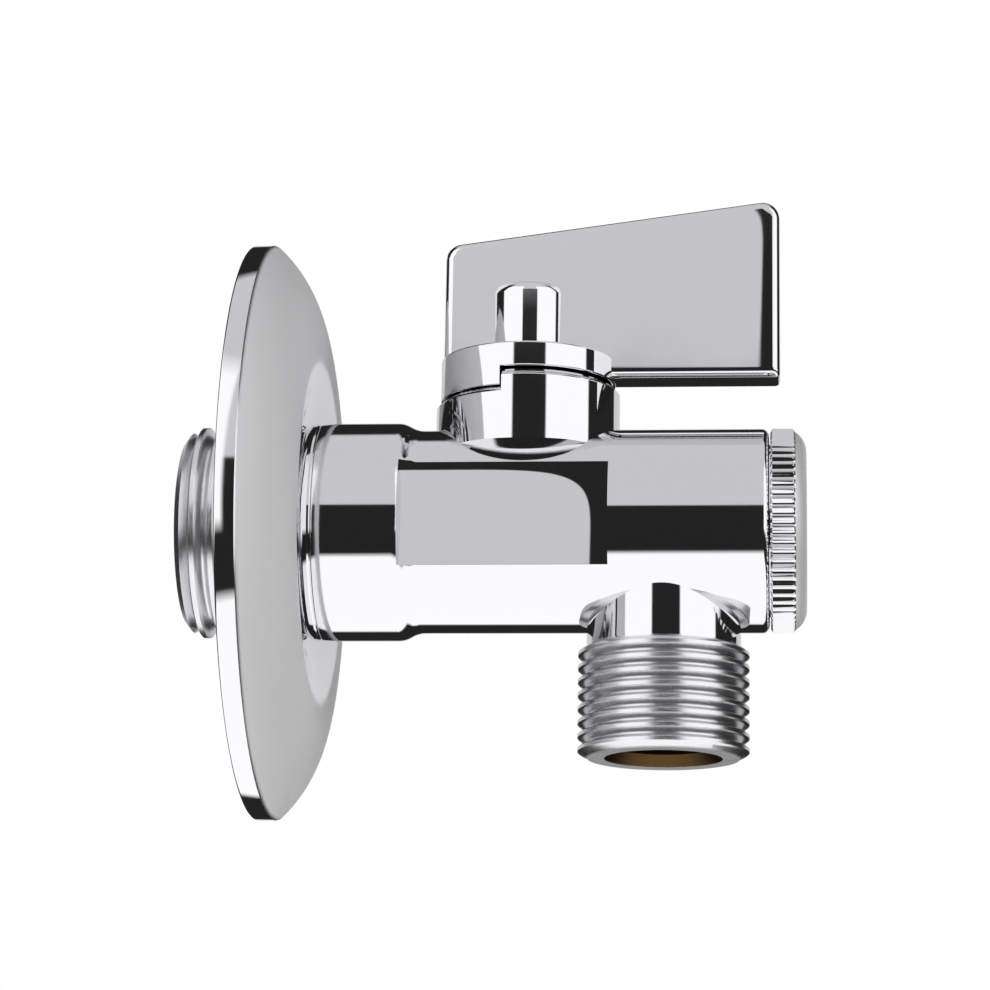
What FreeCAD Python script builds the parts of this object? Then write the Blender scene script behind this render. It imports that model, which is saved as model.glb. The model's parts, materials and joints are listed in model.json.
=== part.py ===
"""Chrome-plated quarter-turn angle stop valve, G1/2 male inlet, G3/8 male outlet.

Frame: origin on the inlet axis in the wall plane, +X along the barrel away from the wall,
+Z up along the stem, the outlet pointing down. Millimetres.
"""
import FreeCAD
import Part
import math
import os

V = FreeCAD.Vector
X_AXIS = V(1, 0, 0)
Y_AXIS = V(0, 1, 0)
Z_AXIS = V(0, 0, 1)

# ---- where things are along the barrel, measured from the wall plane ----
INLET_END_X = -7.0
NOSE_X = 4.9
SHOULDER_X = 6.4
SHOULDER_END_X = 13.9
TAPER_END_X = 16.5
STEM_X = 26.5
OUTLET_X = 40.0
BODY_END_X = 50.3

# ---- valve body, outside ----
INLET_THREAD_D = 20.85
INLET_PITCH = 1.814
INLET_THREAD_LENGTH = 10.0
SPIGOT_D = 20.5
SHOULDER_D = 21.5
NOSE_D = 21.35
NOSE_GROOVE = 0.07
BARREL_D = 20.0
FLAT_DEPTH = 8.6
FLAT_REACH_Z = 5.2
FLAT_EDGE_R = 0.2
BARREL_END_R = 0.7
FLAT_START_X = 14.7
FLAT_END_X = 34.9
NECK_D = 18.15
NECK_TOP_Z = 12.6
STOP_TOP_Z = 14.5
STOP_INNER_R = 6.4
STOP_SPAN = 133.0
STOP_START = -102.8
EDGE_BREAK = 0.22
STOP_CHAMFER = 0.8
NECK_CHAMFER = 0.5
NECK_FOOT_Z = 7.35
NECK_FOOT_ARC_R = 15.8
NECK_FOOT_SLOPE = 0.5
OUTLET_NECK_D = 15.0
OUTLET_THREAD_D = 16.662
OUTLET_PITCH = 1.337
OUTLET_THREAD_TOP_Z = -11.7
OUTLET_END_Z = -22.5

# ---- valve body, inside ----
INLET_BORE_D = 12.0
SEAT_BORE_D = 9.0
RETAINER_THREAD_D = 15.2
SCREEN_CHAMBER_D = 15.2
CAP_THREAD_D = 17.0
CAP_THREAD_LENGTH = 4.6
OUTLET_BORE_D = 10.2
OUTLET_BORE_LENGTH = 9.5
OUTLET_MOUTH_D = 11.5
OUTLET_PASSAGE_D = 8.4

# ---- ball and seats ----
BALL_D = 13.5
BALL_ROOM_CLEARANCE = 0.45
CHAMBER_D = BALL_D + 2 * BALL_ROOM_CLEARANCE
PORT_D = 8.0
BALL_SLOT_W = 2.6
BALL_SLOT_DEPTH = 1.65
BALL_SLOT_FLOOR_Z = BALL_D / 2 - BALL_SLOT_DEPTH
TANG_END_GAP = 0.1
SEAT_BORE_R = 4.2
SEAT_THICKNESS = 3.2
SEAT_BACK = 1.35
SEAT_GAP = 0.05
SEAT_RING_SECTION = 1.2
RETAINER_THICKNESS = 2.6
RETAINER_BORE_D = 9.0

# ---- stem ----
STEM_D = 6.0
STEM_BORE_CLEARANCE = 0.05
TANG_THICKNESS = 2.4
TANG_WIDTH = 5.6
COLLAR_SEAT_CLEARANCE = 0.7
COLLAR_D = BALL_D + 2 * (SEAT_BACK - SEAT_THICKNESS - COLLAR_SEAT_CLEARANCE)
COLLAR_GAP = 0.3
COLLAR_BOTTOM_Z = BALL_D / 2 + COLLAR_GAP
COLLAR_HEIGHT = 0.9
WASHER_THICKNESS = 0.6
STEM_TOP_Z = 21.0
STEM_FLAT_X = 2.25
STEM_FLAT_START_Z = 13.0
STEM_RING_SECTION = 0.92
STEM_RING_Z = (9.65, 11.35)
STEM_GROOVE_W = 1.1

# ---- lever handle ----
SKIRT_D = 17.35
SKIRT_LOW_Z = 12.8
SKIRT_STEP_Z = 14.7
SKIRT_TOP_Z = 17.2
SKIRT_SECTOR_START = -237.8
LEVER_THICKNESS = 5.0
LEVER_LEFT = 8.3
LEVER_RIGHT = 24.9
LEVER_BOTTOM_Z = 15.1
LEVER_TOP_LEFT_Z = 28.9
LEVER_TOP_RIGHT_Z = 33.4
LEVER_CORNER_R = 1.7
LEVER_FOOT_CORNER_R = 0.5
LEVER_EDGE_R = 0.85
LEVER_DRAFT = 1.2
BOSS_D = 8.0
BOSS_TOP_Z = 24.8
BOSS_TOP_R = 1.2
GRUB_SCREW_D = 3.0
GRUB_SCREW_Z = 15.1
GRUB_SOCKET_AF = 1.5
GRUB_SOCKET_DEPTH = 1.6

# ---- end cap and strainer ----
CAP_D = 20.0
KNURL_LENGTH = 2.4
KNURL_TEETH = 66
KNURL_DEPTH = 0.32
CAP_HEAD_LENGTH = 3.6
CAP_END_X = BODY_END_X + CAP_HEAD_LENGTH
CAP_FACE_D = 15.6
CAP_PITCH = 1.0
CAP_THREAD_CLEARANCE = 0.05
CAP_BORE_D = 12.6
CAP_BORE_FLOOR = 1.8
CAP_RING_SECTION = 1.3
CAP_GROOVE_W = 1.5
CAP_GROOVE_FROM_HEAD = 0.5
SCREEN_D = 11.6
SCREEN_WALL = 0.35
SCREEN_HOLE_D = 0.9
SCREEN_HOLES_AROUND = 14
SCREEN_HOLE_PITCH = 1.45
SCREEN_COLLAR_D = 14.2
SCREEN_COLLAR_T = 1.6
STRAINER_GAP = 0.15

# ---- wall flange ----
FLANGE_D = 56.7
FLANGE_HOLE_D = 21.2
FLANGE_WALL = 0.7
FLANGE_LIP_X = 1.9
FLANGE_CREST_X = 6.15
FLANGE_CREST_D = 37.0
FLANGE_HOLE_EDGE_X = 4.4

THREAD_CREST = 0.26
THREAD_DEPTH = 0.64
THREAD_ROOT = 0.10


def at(x, r):
    """Point of a profile turned about the barrel axis: x along it, r out from it."""
    return V(x, r, 0)


def turned(edges, centre=V(0, 0, 0), axis=X_AXIS):
    """Solid of revolution from a closed run of edges."""
    face = Part.Face(Part.Wire(edges))
    return face.revolve(centre, axis, 360)


def lines(points):
    """Straight edges through the points, in order."""
    return [Part.LineSegment(a, b).toShape() for a, b in zip(points, points[1:])]


def closed(points):
    return lines(list(points) + [points[0]])


def arc(a, via, b):
    return Part.Arc(a, via, b).toShape()


def bar(x0, x1, d):
    """Round bar along the barrel axis."""
    return Part.makeCylinder(d / 2, x1 - x0, V(x0, 0, 0), X_AXIS)


def post(x, z0, z1, d):
    """Round bar along Z, on the barrel's middle plane."""
    return Part.makeCylinder(d / 2, z1 - z0, V(x, 0, z0), Z_AXIS)


def block(x0, x1, y0, y1, z0, z1):
    return Part.makeBox(x1 - x0, y1 - y0, z1 - z0, V(x0, y0, z0))


def sector(r, z0, z1, start_deg, span_deg):
    """Pie slice about the stem axis, its angles counted from +X."""
    slice_ = Part.makeCylinder(r, z1 - z0, V(0, 0, z0), Z_AXIS, span_deg)
    slice_.rotate(V(0, 0, 0), Z_AXIS, start_deg)
    slice_.translate(V(STEM_X, 0, 0))
    return slice_


def thread_edges(place, start, length, major_d, pitch):
    """Outline of a thread's crests and roots from start to start + length.

    place(t, r) gives the point at t along the axis and r out from it. Each crest has a narrow
    land at the major diameter with rounded sides. What is left after the last whole crest is cut
    back as a lead chamfer.
    """
    major = major_d / 2
    root = major - THREAD_DEPTH * pitch
    crest_half = THREAD_CREST * pitch / 2
    root_half = THREAD_ROOT * pitch / 2
    round_r = major - 0.18 * pitch
    round_off = crest_half + 0.13 * pitch
    turns = int(length / pitch)
    edges = []
    here = place(start, root)
    for i in range(turns):
        mid = start + (i + 0.5) * pitch
        foot = place(mid - pitch / 2 + root_half, root)
        rise = place(mid - round_off, round_r)
        left = place(mid - crest_half, major)
        right = place(mid + crest_half, major)
        fall = place(mid + round_off, round_r)
        next_foot = place(mid + pitch / 2 - root_half, root)
        bulge = 0.06 * pitch
        left_via = place(mid - crest_half - 0.045 * pitch, major - bulge)
        right_via = place(mid + crest_half + 0.045 * pitch, major - bulge)
        edges += lines([here, foot, rise])
        edges.append(arc(rise, left_via, left))
        edges += lines([left, right])
        edges.append(arc(right, right_via, fall))
        edges += lines([fall, next_foot])
        here = next_foot
    end = start + length
    rest = length - turns * pitch
    if rest > 0.3 * pitch:
        shoulder = place(end - 0.6 * rest, major - 0.3 * pitch)
        edges += lines([here, shoulder])
        here = shoulder
    edges += lines([here, place(end, root - 0.1)])
    return edges


def round_rims(shape, z):
    """The round edges that lie at height z."""
    return [e for e in shape.Edges
            if abs(e.BoundBox.ZMin - z) < 0.01 and abs(e.BoundBox.ZMax - z) < 0.01 and hasattr(e.Curve, "Radius")]


def softened(shape, z):
    """The shape with the sharp round rim at height z broken by a small radius."""
    return shape.makeFillet(EDGE_BREAK, round_rims(shape, z))


def chamfered(shape, z, size):
    return shape.makeChamfer(size, round_rims(shape, z))


def o_ring(centre, axis, mid_r, section):
    return Part.makeTorus(mid_r, section / 2, centre, axis)


# ---------------------------------------------------------------- valve body
def s_curve(x0, r0, x1, r1):
    """Two equal arcs that leave and arrive parallel to the axis."""
    half_x, half_r = (x1 - x0) / 2, (r0 - r1) / 2
    radius = (half_x ** 2 + half_r ** 2) / (2 * half_r)
    turn = math.asin(half_x / radius) / 2
    dx, dr = radius * math.sin(turn), radius * (1 - math.cos(turn))
    mid = at(x0 + half_x, r0 - half_r)
    return [arc(at(x0, r0), at(x0 + dx, r0 - dr), mid),
            arc(mid, at(x1 - dx, r1 + dr), at(x1, r1))]


def body_barrel():
    """Inlet spigot with its thread, shoulder, taper and barrel, turned in one."""
    spigot_r = SPIGOT_D / 2
    thread_end = INLET_END_X + INLET_THREAD_LENGTH

    def from_wall_side(t, r):
        return at(thread_end - t, r)

    thread = thread_edges(from_wall_side, 0, INLET_THREAD_LENGTH, INLET_THREAD_D, INLET_PITCH)
    thread_root = INLET_THREAD_D / 2 - THREAD_DEPTH * INLET_PITCH
    first = at(thread_end, thread_root)
    inlet_face = at(INLET_END_X, thread_root - 0.1)
    outline = list(thread)
    outline += lines([inlet_face, at(INLET_END_X, 0), at(BODY_END_X, 0),
                      at(BODY_END_X, BARREL_D / 2 - BARREL_END_R)])
    turn = BARREL_END_R * (1 - math.sqrt(0.5))
    outline.append(arc(at(BODY_END_X, BARREL_D / 2 - BARREL_END_R), at(BODY_END_X - turn, BARREL_D / 2 - turn),
                       at(BODY_END_X - BARREL_END_R, BARREL_D / 2)))
    outline += lines([at(BODY_END_X - BARREL_END_R, BARREL_D / 2), at(TAPER_END_X, BARREL_D / 2)])
    outline += s_curve(SHOULDER_END_X, SHOULDER_D / 2, TAPER_END_X, BARREL_D / 2)
    nose_start = at(NOSE_X, spigot_r)
    nose_end = at(SHOULDER_X - 0.15, NOSE_D / 2)
    outline += lines([at(SHOULDER_END_X, SHOULDER_D / 2), at(SHOULDER_X + 0.12, SHOULDER_D / 2),
                      at(SHOULDER_X, SHOULDER_D / 2 - 0.1), at(SHOULDER_X, NOSE_D / 2 - NOSE_GROOVE),
                      at(SHOULDER_X - 0.15, NOSE_D / 2 - NOSE_GROOVE), nose_end])
    outline.append(arc(nose_end, at((NOSE_X + SHOULDER_X) / 2 - 0.25, NOSE_D / 2 - 0.07), nose_start))
    relief = at(thread_end + 0.35, spigot_r)
    outline += lines([nose_start, relief, first])
    return turned(Part.__sortEdges__(outline))


def body_outlet():
    """Plain outlet neck and its thread, turned about the outlet axis."""
    length = OUTLET_THREAD_TOP_Z - OUTLET_END_Z

    def downwards(t, r):
        return V(OUTLET_X + r, 0, OUTLET_THREAD_TOP_Z - t)

    neck_r = OUTLET_NECK_D / 2
    thread = thread_edges(downwards, 0, length, OUTLET_THREAD_D, OUTLET_PITCH)
    thread_root = OUTLET_THREAD_D / 2 - THREAD_DEPTH * OUTLET_PITCH
    outline = list(thread)
    outline += lines([V(OUTLET_X + thread_root - 0.1, 0, OUTLET_END_Z), V(OUTLET_X, 0, OUTLET_END_Z),
                      V(OUTLET_X, 0, 0), V(OUTLET_X + neck_r, 0, 0),
                      V(OUTLET_X + neck_r, 0, OUTLET_THREAD_TOP_Z),
                      V(OUTLET_X + thread_root, 0, OUTLET_THREAD_TOP_Z)])
    return turned(Part.__sortEdges__(outline), V(OUTLET_X, 0, 0), Z_AXIS)


def make_neck():
    """Round neck whose foot is cut back, front and rear, under a shallow arch down to the barrel."""
    neck = chamfered(post(STEM_X, 0, NECK_TOP_Z, NECK_D), NECK_TOP_Z, NECK_CHAMFER)
    start = NECK_D / 2 + 0.5
    crown = NECK_FOOT_Z + 0.5 * NECK_FOOT_SLOPE
    spring = crown + NECK_FOOT_ARC_R - math.sqrt(NECK_FOOT_ARC_R ** 2 - start ** 2)
    floor = -BARREL_D / 2
    for side in (-1, 1):
        y = side * start
        left, top, right = V(STEM_X - start, y, spring), V(STEM_X, y, crown), V(STEM_X + start, y, spring)
        edges = [arc(left, top, right)]
        edges += lines([right, V(STEM_X + start, y, floor), V(STEM_X - start, y, floor), left])
        inward = V(0, -side * start, -NECK_FOOT_SLOPE * start)
        neck = neck.cut(Part.Face(Part.Wire(edges)).extrude(inward))
    return neck


def wrench_flats(barrel):
    """The barrel with a milled flat front and rear, their long edges rounded by the polishing."""
    for side in (-1, 1):
        y0, y1 = sorted((side * FLAT_DEPTH, side * BARREL_D))
        barrel = barrel.cut(block(FLAT_START_X, FLAT_END_X, y0, y1, -FLAT_REACH_Z, FLAT_REACH_Z))
    long_edges = [e for e in barrel.Edges
                  if e.BoundBox.XLength > 18 and abs(abs(e.BoundBox.YMin) - FLAT_DEPTH) < 0.01
                  and e.BoundBox.YLength < 0.01 and e.BoundBox.ZLength < 0.01]
    return barrel.makeFillet(FLAT_EDGE_R, long_edges)


def make_valve_body():
    body = wrench_flats(body_barrel()).fuse([body_outlet(), make_neck()]).removeSplitter()
    stop = sector(NECK_D / 2, NECK_TOP_Z - NECK_CHAMFER, STOP_TOP_Z, STOP_START, STOP_SPAN)
    stop = chamfered(stop, STOP_TOP_Z, STOP_CHAMFER)
    body = body.fuse(stop.cut(post(STEM_X, NECK_TOP_Z - 1, STOP_TOP_Z + 1, 2 * STOP_INNER_R)))
    body = body.removeSplitter()
    for hollow in body_bores():
        body = body.cut(hollow)
    return body


def body_bores():
    """The waterway and the rooms for the ball, the screen, the cap and the stem."""
    room_start = STEM_X - BALL_D / 2 - SEAT_BACK
    retainer_start = STEM_X + BALL_D / 2 + SEAT_BACK
    cap_thread_start = BODY_END_X - CAP_THREAD_LENGTH
    inlet_r = INLET_BORE_D / 2
    inlet_floor = room_start - 2.4
    inlet = turned(closed([at(INLET_END_X - 1, 0), at(INLET_END_X - 1, inlet_r + 1.6),
                           at(INLET_END_X + 0.6, inlet_r), at(inlet_floor, inlet_r),
                           at(inlet_floor + 1.2, SEAT_BORE_D / 2), at(room_start + 1, SEAT_BORE_D / 2),
                           at(room_start + 1, 0)]))
    stem_bore_d = STEM_D + 2 * STEM_BORE_CLEARANCE
    collar_room_top = COLLAR_BOTTOM_Z + COLLAR_HEIGHT + WASHER_THICKNESS
    mouth = OUTLET_MOUTH_D / 2
    bore = OUTLET_BORE_D / 2
    bore_top = OUTLET_END_Z + OUTLET_BORE_LENGTH
    outlet = turned(closed([V(OUTLET_X, 0, OUTLET_END_Z - 1), V(OUTLET_X + mouth, 0, OUTLET_END_Z - 1),
                            V(OUTLET_X + mouth, 0, OUTLET_END_Z), V(OUTLET_X + bore, 0, OUTLET_END_Z + 1.2),
                            V(OUTLET_X + bore, 0, bore_top),
                            V(OUTLET_X + OUTLET_PASSAGE_D / 2, 0, bore_top + 0.6),
                            V(OUTLET_X + OUTLET_PASSAGE_D / 2, 0, 0), V(OUTLET_X, 0, 0)]),
                    V(OUTLET_X, 0, 0), Z_AXIS)
    return [
        inlet,
        bar(room_start, retainer_start, CHAMBER_D),
        bar(retainer_start, cap_thread_start, SCREEN_CHAMBER_D),
        bar(cap_thread_start, BODY_END_X + 1, CAP_THREAD_D),
        post(STEM_X, 0, collar_room_top, COLLAR_D + 0.2),
        post(STEM_X, 0, STOP_TOP_Z + 1, stem_bore_d),
        outlet,
    ]


# ------------------------------------------------------------ ball and seats
def make_ball():
    ball = Part.makeSphere(BALL_D / 2, V(STEM_X, 0, 0))
    ball = ball.cut(bar(STEM_X - BALL_D, STEM_X + BALL_D, PORT_D))
    slot = block(STEM_X - BALL_SLOT_W / 2, STEM_X + BALL_SLOT_W / 2, -BALL_D, BALL_D,
                 BALL_SLOT_FLOOR_Z, BALL_D)
    return ball.cut(slot)


def seat_span():
    """Distance from the stem axis to a seat's near face and to its far face."""
    far = BALL_D / 2 + SEAT_BACK
    return far - SEAT_THICKNESS, far


def make_seat(side):
    """PTFE ring with a spherical face, grooved behind for its elastic ring."""
    near, far = seat_span()
    x0, x1 = sorted((STEM_X + side * near, STEM_X + side * far))
    seat = bar(x0, x1, CHAMBER_D).cut(bar(x0 - 1, x1 + 1, 2 * SEAT_BORE_R))
    seat = seat.cut(Part.makeSphere(BALL_D / 2 + SEAT_GAP, V(STEM_X, 0, 0)))
    depth = SEAT_RING_SECTION
    g0, g1 = sorted((STEM_X + side * far, STEM_X + side * (far - depth)))
    groove = bar(g0, g1, CHAMBER_D + 1).cut(bar(g0, g1, CHAMBER_D - 2 * SEAT_RING_SECTION))
    return seat.cut(groove)


def make_seat_ring(side):
    far = seat_span()[1]
    centre = V(STEM_X + side * (far - SEAT_RING_SECTION / 2), 0, 0)
    return o_ring(centre, X_AXIS, (CHAMBER_D - SEAT_RING_SECTION) / 2, SEAT_RING_SECTION)


def make_seat_retainer():
    """Threaded ring screwed in behind the outlet seat, with two key slots."""
    x0 = STEM_X + seat_span()[1]
    x1 = x0 + RETAINER_THICKNESS
    ring = bar(x0, x1, RETAINER_THREAD_D).cut(bar(x0 - 1, x1 + 1, RETAINER_BORE_D))
    key = block(x1 - 1.2, x1 + 1, -0.9, 0.9, -RETAINER_THREAD_D, RETAINER_THREAD_D)
    return ring.cut(key)


# ---------------------------------------------------------------------- stem
def make_stem():
    """Blow-out proof stem: tang, collar, two ring grooves and two drive flats."""
    r = STEM_D / 2
    groove_r = r - STEM_RING_SECTION + 0.01
    collar_top = COLLAR_BOTTOM_Z + COLLAR_HEIGHT
    points = [V(0, 0, COLLAR_BOTTOM_Z), V(COLLAR_D / 2, 0, COLLAR_BOTTOM_Z), V(COLLAR_D / 2, 0, collar_top),
              V(r, 0, collar_top)]
    for z in STEM_RING_Z:
        low, high = z - STEM_GROOVE_W / 2, z + STEM_GROOVE_W / 2
        points += [V(r, 0, low), V(groove_r, 0, low), V(groove_r, 0, high), V(r, 0, high)]
    points += [V(r, 0, STEM_TOP_Z - 0.4), V(r - 0.4, 0, STEM_TOP_Z), V(0, 0, STEM_TOP_Z)]
    stem = turned(closed(points), V(0, 0, 0), Z_AXIS)
    stem.translate(V(STEM_X, 0, 0))
    tang = block(STEM_X - TANG_THICKNESS / 2, STEM_X + TANG_THICKNESS / 2,
                 -TANG_WIDTH / 2, TANG_WIDTH / 2, BALL_SLOT_FLOOR_Z + TANG_END_GAP, COLLAR_BOTTOM_Z + 0.2)
    stem = stem.fuse(tang).removeSplitter()
    for side in (-1, 1):
        x0, x1 = sorted((STEM_X + side * STEM_FLAT_X, STEM_X + side * STEM_D))
        stem = stem.cut(block(x0, x1, -STEM_D, STEM_D, STEM_FLAT_START_Z, STEM_TOP_Z + 1))
    return stem


def make_thrust_washer():
    z0 = COLLAR_BOTTOM_Z + COLLAR_HEIGHT
    washer = post(STEM_X, z0, z0 + WASHER_THICKNESS - 0.05, COLLAR_D)
    return washer.cut(post(STEM_X, z0 - 1, z0 + 2, STEM_D))


def make_stem_ring(z):
    mid_r = STEM_D / 2 + 0.02 - STEM_RING_SECTION / 2
    return o_ring(V(STEM_X, 0, z), Z_AXIS, mid_r, STEM_RING_SECTION)


# -------------------------------------------------------------------- handle
def lever_plate():
    """Upright flag plate with rounded corners, softened edges and the casting's draft on both faces."""
    x0, x1 = STEM_X - LEVER_LEFT, STEM_X + LEVER_RIGHT
    corners = [(V(x0, 0, LEVER_BOTTOM_Z), LEVER_FOOT_CORNER_R), (V(x1, 0, LEVER_BOTTOM_Z), LEVER_FOOT_CORNER_R),
               (V(x1, 0, LEVER_TOP_RIGHT_Z), LEVER_CORNER_R), (V(x0, 0, LEVER_TOP_LEFT_Z), LEVER_CORNER_R)]
    edges = rounded_outline(corners)
    plate = Part.Face(Part.Wire(edges)).extrude(V(0, LEVER_THICKNESS, 0))
    plate.translate(V(0, -LEVER_THICKNESS / 2, 0))
    top = LEVER_TOP_RIGHT_Z + 1
    lean = (top - LEVER_BOTTOM_Z) * math.tan(math.radians(LEVER_DRAFT))
    for side in (-1, 1):
        y = side * LEVER_THICKNESS / 2
        slant = closed([V(x0 - 1, y, LEVER_BOTTOM_Z), V(x0 - 1, y - side * lean, top), V(x0 - 1, 2 * y, top),
                        V(x0 - 1, 2 * y, LEVER_BOTTOM_Z)])
        plate = plate.cut(Part.Face(Part.Wire(slant)).extrude(V(x1 - x0 + 2, 0, 0)))
    rims = [e for e in plate.Edges if abs(sum(math.copysign(1, v.Y) for v in e.Vertexes)) == len(e.Vertexes)]
    return plate.makeFillet(LEVER_EDGE_R, rims)


def rounded_outline(corners):
    """Closed outline through the corner points, each rounded by its own radius."""
    edges = []
    joins = []
    count = len(corners)
    for i, (point, radius) in enumerate(corners):
        before = (corners[i - 1][0] - point).normalize()
        after = (corners[(i + 1) % count][0] - point).normalize()
        half = math.acos(before.dot(after)) / 2
        back = radius / math.tan(half)
        middle = (before + after).normalize()
        via = point + middle * (radius / math.sin(half) - radius)
        joins.append((point + before * back, via, point + after * back))
    for i, (start, via, end) in enumerate(joins):
        edges.append(arc(start, via, end))
        edges += lines([end, joins[(i + 1) % count][0]])
    return edges


def make_lever_handle():
    skirt = Part.makeCylinder(SKIRT_D / 2, SKIRT_TOP_Z - SKIRT_STEP_Z, V(STEM_X, 0, SKIRT_STEP_Z))
    top = [e for e in skirt.Edges if e.BoundBox.ZMin > SKIRT_TOP_Z - 0.01]
    skirt = softened(skirt.makeFillet(0.35, top), SKIRT_STEP_Z)
    stop_room = 2 * (STOP_INNER_R - 0.2)
    hub = post(STEM_X, SKIRT_LOW_Z, SKIRT_STEP_Z + 0.5, stop_room)
    drop = sector(SKIRT_D / 2, SKIRT_LOW_Z, SKIRT_STEP_Z + 0.5, SKIRT_SECTOR_START, STOP_SPAN)
    drop = softened(drop, SKIRT_LOW_Z)
    boss = post(STEM_X, SKIRT_STEP_Z, BOSS_TOP_Z, BOSS_D)
    boss_top = [e for e in boss.Edges if e.BoundBox.ZMin > BOSS_TOP_Z - 0.01]
    boss = boss.makeFillet(BOSS_TOP_R, boss_top)
    handle = skirt.fuse([hub, drop, boss, lever_plate()]).removeSplitter()

    socket = post(STEM_X, SKIRT_LOW_Z - 1, STEM_TOP_Z + 0.2, STEM_D)
    for side in (-1, 1):
        x0, x1 = sorted((STEM_X + side * STEM_FLAT_X, STEM_X + side * STEM_D))
        socket = socket.cut(block(x0, x1, -STEM_D, STEM_D, STEM_FLAT_START_Z, STEM_TOP_Z + 1))
    screw_hole = bar(STEM_X - SKIRT_D, STEM_X - STEM_FLAT_X, GRUB_SCREW_D)
    screw_hole.translate(V(0, 0, GRUB_SCREW_Z))
    return handle.cut(socket).cut(screw_hole)


def make_grub_screw():
    """Cup-point set screw with a hex socket, clamping the stem's flat."""
    x0, x1 = STEM_X - SKIRT_D / 2 + 0.4, STEM_X - STEM_FLAT_X
    r = GRUB_SCREW_D / 2
    screw = turned(closed([at(x0, 0), at(x0, r - 0.25), at(x0 + 0.25, r), at(x1 - 0.5, r), at(x1, r - 0.5),
                           at(x1, 0)]))
    corner = GRUB_SOCKET_AF / math.sqrt(3)
    hexagon = [V(x0 - 1, corner * math.cos(math.radians(60 * i)), corner * math.sin(math.radians(60 * i)))
               for i in range(6)]
    socket = Part.Face(Part.Wire(closed(hexagon))).extrude(V(GRUB_SOCKET_DEPTH + 1, 0, 0))
    screw = screw.cut(socket)
    screw.translate(V(0, 0, GRUB_SCREW_Z))
    return screw


# ------------------------------------------------------- end cap and strainer
def make_end_cap():
    """Knurled cap: head, groove for its ring, thread spigot and a room for the screen."""
    head = BODY_END_X + 0.1
    knurl_end = head + KNURL_LENGTH
    r = CAP_D / 2
    spigot_r = CAP_THREAD_D / 2 - CAP_THREAD_CLEARANCE
    groove_x1 = head - CAP_GROOVE_FROM_HEAD
    groove_x0 = groove_x1 - CAP_GROOVE_W
    groove_r = spigot_r - CAP_RING_SECTION + 0.01
    spigot_x0 = BODY_END_X - CAP_THREAD_LENGTH + 0.3
    inner_r = CAP_BORE_D / 2
    floor_x = CAP_END_X - CAP_BORE_FLOOR
    face_r = CAP_FACE_D / 2
    crown = arc(at(knurl_end, r - KNURL_DEPTH), at(CAP_END_X - 0.42, face_r + 1.25), at(CAP_END_X, face_r))
    outline = [crown]
    outline += lines([at(CAP_END_X, face_r), at(CAP_END_X, 0), at(floor_x, 0), at(floor_x, inner_r),
                      at(spigot_x0, inner_r), at(spigot_x0, spigot_r - 0.4), at(spigot_x0 + 0.4, spigot_r),
                      at(groove_x0, spigot_r), at(groove_x0, groove_r), at(groove_x1, groove_r),
                      at(groove_x1, spigot_r), at(head, spigot_r), at(head, r - KNURL_DEPTH - 0.1),
                      at(head + 0.2, r), at(knurl_end - 0.25, r), at(knurl_end, r - KNURL_DEPTH)])
    cap = turned(outline)
    step = 2 * math.pi / KNURL_TEETH
    star = []
    for i in range(KNURL_TEETH):
        for share, radius in ((0.0, r), (0.12, r), (0.56, r - KNURL_DEPTH)):
            turn = (i + share) * step
            star.append(V(spigot_x0 - 1, radius * math.cos(turn), radius * math.sin(turn)))
    prism = Part.Face(Part.Wire(closed(star))).extrude(V(CAP_END_X - spigot_x0 + 2, 0, 0))
    return cap.common(prism)


def make_cap_ring():
    spigot_r = CAP_THREAD_D / 2 - CAP_THREAD_CLEARANCE
    centre = BODY_END_X + 0.1 - CAP_GROOVE_FROM_HEAD - CAP_GROOVE_W / 2
    return o_ring(V(centre, 0, 0), X_AXIS, spigot_r + 0.02 - CAP_RING_SECTION / 2, CAP_RING_SECTION)


def strainer_span():
    """Where the strainer starts and ends along the barrel."""
    start = STEM_X + seat_span()[1] + RETAINER_THICKNESS + STRAINER_GAP
    return start, CAP_END_X - CAP_BORE_FLOOR - STRAINER_GAP


def make_strainer_screen():
    """Perforated tube, its rows of holes staggered."""
    start, end = strainer_span()
    tube = bar(start, end, SCREEN_D).cut(bar(start - 1, end + 1, SCREEN_D - 2 * SCREEN_WALL))
    first = start + SCREEN_COLLAR_T + 1.0
    rows = int((BODY_END_X - CAP_THREAD_LENGTH - first) / SCREEN_HOLE_PITCH)
    drills = []
    for row in range(rows):
        for k in range(SCREEN_HOLES_AROUND // 2):
            turn = (k + 0.5 * (row % 2)) * 360 / SCREEN_HOLES_AROUND
            drill = Part.makeCylinder(SCREEN_HOLE_D / 2, SCREEN_D + 2, V(0, 0, -SCREEN_D / 2 - 1))
            drill.rotate(V(0, 0, 0), X_AXIS, turn)
            drill.translate(V(first + row * SCREEN_HOLE_PITCH, 0, 0))
            drills.append(drill)
    return tube.cut(drills)


def make_strainer_collar():
    start = strainer_span()[0]
    collar = bar(start, start + SCREEN_COLLAR_T, SCREEN_COLLAR_D)
    return collar.cut(bar(start - 1, start + SCREEN_COLLAR_T + 1, SCREEN_D))


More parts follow.
